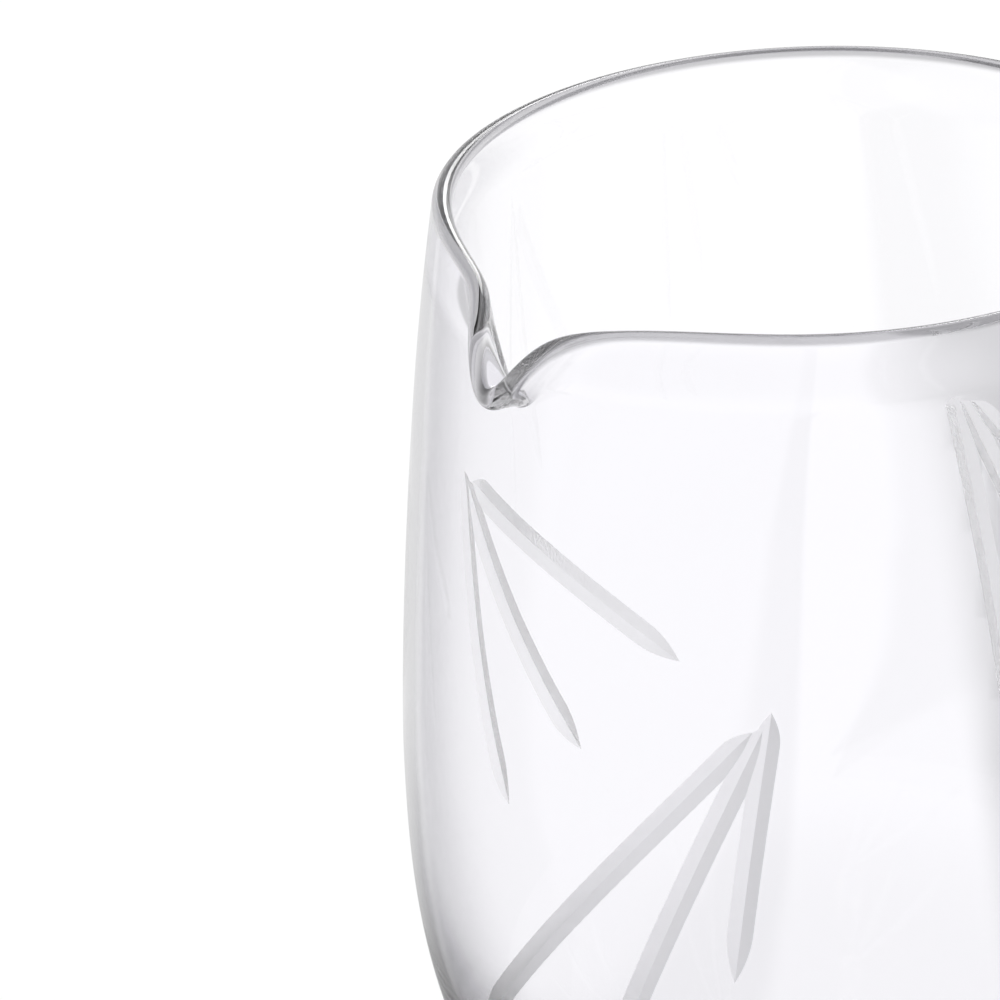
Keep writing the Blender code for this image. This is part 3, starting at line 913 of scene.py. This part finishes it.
def satin_cut(name, looks):
    """Ground, unpolished facets of the mitre cuts."""
    material, tree, shader = new_material(name)
    work = add_node(tree, "ShaderNodeGroup", node_tree=hand_work_group())
    work.inputs["Grit Scale"].default_value = GRIT_SCALE
    work.inputs["Roughness"].default_value = looks.satin_roughness
    bump = add_node(tree, "ShaderNodeBump", {
        "Height": Field(tree, work.outputs["Grit"]), "Distance": GRIT_DEPTH, "Strength": 1.0})
    tree.links.new(bump.outputs["Normal"], shader.inputs["Normal"])
    tree.links.new(work.outputs["Roughness"], shader.inputs["Roughness"])
    shader.inputs["Base Color"].default_value = tuple(looks.satin)
    # The far cuts, seen from inside the wall, are paler.
    behind = out(tree, "ShaderNodeNewGeometry", output="Backfacing")
    plug(tree, shader.inputs["Alpha"], 1.0 - behind * looks.satin_fade)
    shader.inputs["Metallic"].default_value = 0.0
    shader.inputs["Transmission Weight"].default_value = 1.0
    shader.inputs["IOR"].default_value = looks.ior
    return material


def fused_joint(name):
    """The faces where two pieces are melted together: nothing is seen of them."""
    material, _tree, shader = new_material(name)
    shader.inputs["Alpha"].default_value = 0.0
    return material


class MIXINGGLASS_OT_bowl(bpy.types.Operator):
    """Make the bowl with its pour lip and its fans of cuts"""

    bl_idname = "mixingglass.bowl"
    bl_label = "Make bowl"

    def execute(self, context):
        scene = context.scene
        sizes, lip, cuts = scene.glass_bowl, scene.glass_lip, scene.glass_cuts
        looks = scene.glass_looks
        outline = bowl_outline(sizes, scene.glass_stand.neck_radius)
        profile = profile_object("bowl profile", outline)
        glass = clear_glass(
            "clear glass of the bowl", looks, wave_scale=26.0, wave_depth=0.00006)
        add_tree(profile, turned_tree(), {
            "Steps": BOWL_STEPS, "Crowding": BOWL_CROWDING, "Direction": LIP_DIRECTION,
            "Low Joint": UPPER_JOINT, "High Joint": UPPER_JOINT, "Glass": glass,
            "Joint": fused_joint("fused joint of the bowl")})
        add_tree(profile, lip_tree(), {**lip_inputs(sizes, lip), "Bead": sizes.rim_wall / 2})
        rays = {}
        for number in range(3):
            rays[f"Angle {number + 1}"] = cuts.ray_angles[number]
            rays[f"Start {number + 1}"] = cuts.ray_starts[number]
            rays[f"End {number + 1}"] = cuts.ray_ends[number]
            rays[f"First Angle {number + 1}"] = cuts.first_angles[number]
            rays[f"First End {number + 1}"] = cuts.first_ends[number]
        add_tree(profile, fans_tree(), {
            **wall_inputs(sizes), **rays, "Rim Height": RIM_TOP, "Below Rim": cuts.below_rim,
            "Fans": cuts.fans, "First": cuts.first, "Pitch": cuts.pitch,
            "First Swing": cuts.first_swing, "Swing Distance": cuts.swing_distance,
            "Width": cuts.width, "Depth": cuts.depth, "Taper": cuts.taper,
            "Apex Taper": cuts.apex_taper, "Proud": cuts.proud,
            "Satin": satin_cut("satin cuts", looks)})
        settle_piece("cut_bowl", profile, "bowl")
        return {"FINISHED"}


class MIXINGGLASS_OT_stem(bpy.types.Operator):
    """Make the drawn stem"""

    bl_idname = "mixingglass.stem"
    bl_label = "Make stem"

    def execute(self, context):
        scene = context.scene
        profile = profile_object("stem profile", stem_outline(scene.glass_stand))
        glass = clear_glass(
            "clear glass of the stem", scene.glass_looks, wave_scale=60.0, wave_depth=0.00002)
        add_tree(profile, turned_tree(), {
            "Steps": STEM_STEPS, "Low Joint": LOWER_JOINT, "High Joint": UPPER_JOINT,
            "Glass": glass,
            "Joint": fused_joint("fused joints of the stem")})
        settle_piece("drawn_stem", profile, "stem")
        return {"FINISHED"}


class MIXINGGLASS_OT_foot(bpy.types.Operator):
    """Make the disc foot"""

    bl_idname = "mixingglass.foot"
    bl_label = "Make foot"

    def execute(self, context):
        scene = context.scene
        profile = profile_object("foot profile", foot_outline(scene.glass_stand))
        glass = clear_glass(
            "clear glass of the foot", scene.glass_looks, wave_scale=34.0, wave_depth=0.00004)
        add_tree(profile, turned_tree(), {
            "Steps": STEM_STEPS, "Low Joint": LOWER_JOINT, "High Joint": LOWER_JOINT,
            "Glass": glass,
            "Joint": fused_joint("fused joint of the foot")})
        settle_piece("disc_foot", profile, "foot")
        return {"FINISHED"}


def seen_field(tree):
    """1 for rays that look at a surface: from the camera, in a reflection or through glass."""
    path = tree.nodes.new("ShaderNodeLightPath")
    seen = Field(tree, path.outputs["Is Camera Ray"])
    seen = seen.math("MAXIMUM", Field(tree, path.outputs["Is Glossy Ray"]))
    return seen.math("MAXIMUM", Field(tree, path.outputs["Is Transmission Ray"]))


def make_world(stage):
    """White round the horizon, darker overhead in what the glass mirrors and bends."""
    world = bpy.data.worlds.new("studio")
    bpy.context.scene.world = world
    world.use_nodes = True
    tree = world.node_tree
    background = tree.nodes["Background"]
    camera = out(tree, "ShaderNodeLightPath", output="Is Camera Ray")
    way = out(tree, "ShaderNodeTexCoord", output="Generated")
    rise = out(tree, "ShaderNodeSeparateXYZ", {0: way}, output="Z")
    overhead = smooth_change(rise, CEILING_START, CEILING_FULL, 1.0, stage.ceiling)
    mirrored = camera.math("MAXIMUM", overhead)
    seen = seen_field(tree)
    strength = seen * mirrored + (1.0 - seen) * stage.sky
    tree.links.new(strength.socket, background.inputs["Strength"])
    background.inputs["Color"].default_value = (1.0, 1.0, 1.0, 1.0)


def floor_shades(tree, place, stage):
    """Brightness of the floor, with soft shades that are seen in the glass alone.

    Those on the left and under the foot are mirrored; the right one shows through two walls.
    """
    across = (math.cos(stage.azimuth), math.sin(stage.azimuth), 0.0)
    away = (-math.sin(stage.azimuth), math.cos(stage.azimuth), 0.0)
    right, ahead = (
        out(tree, "ShaderNodeVectorMath", {0: place, 1: way}, output="Value",
            operation="DOT_PRODUCT")
        for way in (across, away))
    path = tree.nodes.new("ShaderNodeLightPath")
    mirrored = Field(tree, path.outputs["Glossy Depth"]).math("GREATER_THAN", 0.5)
    two_walls = Field(tree, path.outputs["Transmission Depth"]).math("GREATER_THAN", 3.5)
    behind = smooth_change(ahead, BEHIND_START, BEHIND_FULL)
    nearer = stage.near_shade - stage.left_shade
    near = smooth_change(ahead, NEAR_FULL, NEAR_END, nearer, 0.0)
    near = near * smooth_change(right, NEAR_LEFT_END, NEAR_LEFT_FULL)
    left = (near + stage.left_shade) * smooth_change(right, LEFT_FULL, LEFT_END, 1.0, 0.0)
    past = (ahead - BEND_START).math("MAXIMUM", 0.0).math("MINIMUM", BEND_LENGTH)
    border = right - stage.right_border + past * past * BORDER_BEND
    softness = past * BORDER_WIDENING + BORDER_WIDTH
    through = smooth_change(border / softness, 0.0, 1.0) * stage.right_shade
    distance = out(
        tree, "ShaderNodeVectorMath", {0: place}, output="Value", operation="LENGTH")
    under = smooth_change(distance, FOOT_RADIUS, stage.under_radius, 1.0 - stage.under, 0.0)
    left = left.math("MAXIMUM", under) * mirrored
    return 1.0 - left.math("MAXIMUM", through * behind * two_walls)


def make_floor(stage):
    """A pale floor that reads as white and keeps a share of the glass's shadow."""
    size = FLOOR_HALF
    mesh = bpy.data.meshes.new("floor")
    corners = [(-size, -size, 0.0), (size, -size, 0.0), (size, size, 0.0), (-size, size, 0.0)]
    mesh.from_pydata(corners, [], [(0, 1, 2, 3)])
    floor = bpy.data.objects.new("floor", mesh)
    bpy.context.scene.collection.objects.link(floor)
    material, tree, shader = new_material("pale floor")
    shader.inputs["Base Color"].default_value = tuple(stage.floor)
    shader.inputs["Roughness"].default_value = 0.9
    shader.inputs["Specular IOR Level"].default_value = 0.0
    place = out(tree, "ShaderNodeTexCoord", output="Object")
    white = add_node(tree, "ShaderNodeEmission", {
        "Color": (1.0, 1.0, 1.0, 1.0), "Strength": floor_shades(tree, place, stage)})
    share = seen_field(tree) * (1.0 - stage.shadow_share)
    blend = add_node(tree, "ShaderNodeMixShader", {0: share})
    tree.links.new(shader.outputs[0], blend.inputs[1])
    tree.links.new(white.outputs[0], blend.inputs[2])
    tree.links.new(blend.outputs[0], tree.nodes["Material Output"].inputs["Surface"])
    mesh.materials.append(material)


def make_lamp(name, place, stage):
    """A tall soft lamp that faces the bowl and is mirrored in its rim."""
    lamp = bpy.data.lights.new(name, "AREA")
    lamp.shape = "RECTANGLE"
    lamp.size = stage.lamp_width
    lamp.size_y = stage.lamp_height
    lamp.energy = stage.lamp_power
    holder = bpy.data.objects.new(name, lamp)
    holder.visible_transmission = False
    holder.location = place
    holder.rotation_mode = "QUATERNION"
    aim = Vector((0.0, 0.0, RIM_TOP / 2)) - holder.location
    holder.rotation_quaternion = aim.to_track_quat("-Z", "Y")
    bpy.context.scene.collection.objects.link(holder)


def make_camera(stage):
    """The photograph's view, a long lens aimed beside the rim."""
    lens = bpy.data.cameras.new("camera")
    lens.sensor_width = 36.0
    lens.lens = stage.lens
    lens.clip_start = 0.01
    lens.clip_end = 100.0
    camera = bpy.data.objects.new("camera", lens)
    bpy.context.scene.collection.objects.link(camera)
    rim_middle = Vector((0.0, 0.0, RIM_TOP))
    flat, rise = math.cos(stage.elevation), math.sin(stage.elevation)
    back = Vector((math.sin(stage.azimuth) * flat, -math.cos(stage.azimuth) * flat, rise))
    right = Vector((math.cos(stage.azimuth), math.sin(stage.azimuth), 0.0))
    up = back.cross(right)
    camera.location = rim_middle + back * stage.distance
    aim = rim_middle + right * stage.aim_right + up * stage.aim_up
    facing = (aim - camera.location).to_track_quat("-Z", "Y")
    camera.rotation_mode = "QUATERNION"
    camera.rotation_quaternion = facing @ Quaternion((0.0, 0.0, 1.0), stage.roll)
    bpy.context.scene.camera = camera


class MIXINGGLASS_OT_stage(bpy.types.Operator):
    """Make the floor, the light and the camera"""

    bl_idname = "mixingglass.stage"
    bl_label = "Make stage"

    def execute(self, context):
        stage = context.scene.glass_stage
        make_world(stage)
        make_floor(stage)
        make_lamp("rear softbox", REAR_SOFTBOX, stage)
        make_camera(stage)
        context.scene.view_settings.view_transform = "Standard"
        # Light runs a long way inside the wall before it leaves the rim.
        cycles = context.scene.cycles
        cycles.max_bounces = stage.bounces
        cycles.transmission_bounces = stage.bounces
        cycles.glossy_bounces = stage.bounces
        return {"FINISHED"}


class MIXINGGLASS_PT_panel(bpy.types.Panel):
    """The sidebar's list of what can be made"""

    bl_idname = "MIXINGGLASS_PT_panel"
    bl_label = "Mixing glass"
    bl_space_type = "VIEW_3D"
    bl_region_type = "UI"
    bl_category = "Mixing glass"

    def draw(self, context):
        for operator in OPERATORS:
            self.layout.operator(operator.bl_idname)


OPERATORS = (
    MIXINGGLASS_OT_bowl, MIXINGGLASS_OT_stem, MIXINGGLASS_OT_foot, MIXINGGLASS_OT_stage)
SETTINGS = {
    "glass_bowl": BowlSizes, "glass_lip": LipSizes, "glass_cuts": CutSizes,
    "glass_stand": StandSizes, "glass_looks": GlassLooks, "glass_stage": StageLooks}


def register():
    """Add the settings, the operators and the panel to Blender."""
    for settings in SETTINGS.values():
        bpy.utils.register_class(settings)
    for name, settings in SETTINGS.items():
        setattr(bpy.types.Scene, name, PointerProperty(type=settings))
    for operator in OPERATORS:
        bpy.utils.register_class(operator)
    bpy.utils.register_class(MIXINGGLASS_PT_panel)


def unregister():
    """Take them out again."""
    bpy.utils.unregister_class(MIXINGGLASS_PT_panel)
    for operator in reversed(OPERATORS):
        bpy.utils.unregister_class(operator)
    for name, settings in SETTINGS.items():
        delattr(bpy.types.Scene, name)
        bpy.utils.unregister_class(settings)


def main():
    """Make all the pieces and the stage."""
    register()
    bpy.ops.mixingglass.bowl()
    bpy.ops.mixingglass.stem()
    bpy.ops.mixingglass.foot()
    bpy.ops.mixingglass.stage()


if __name__ == "__main__":
    main()
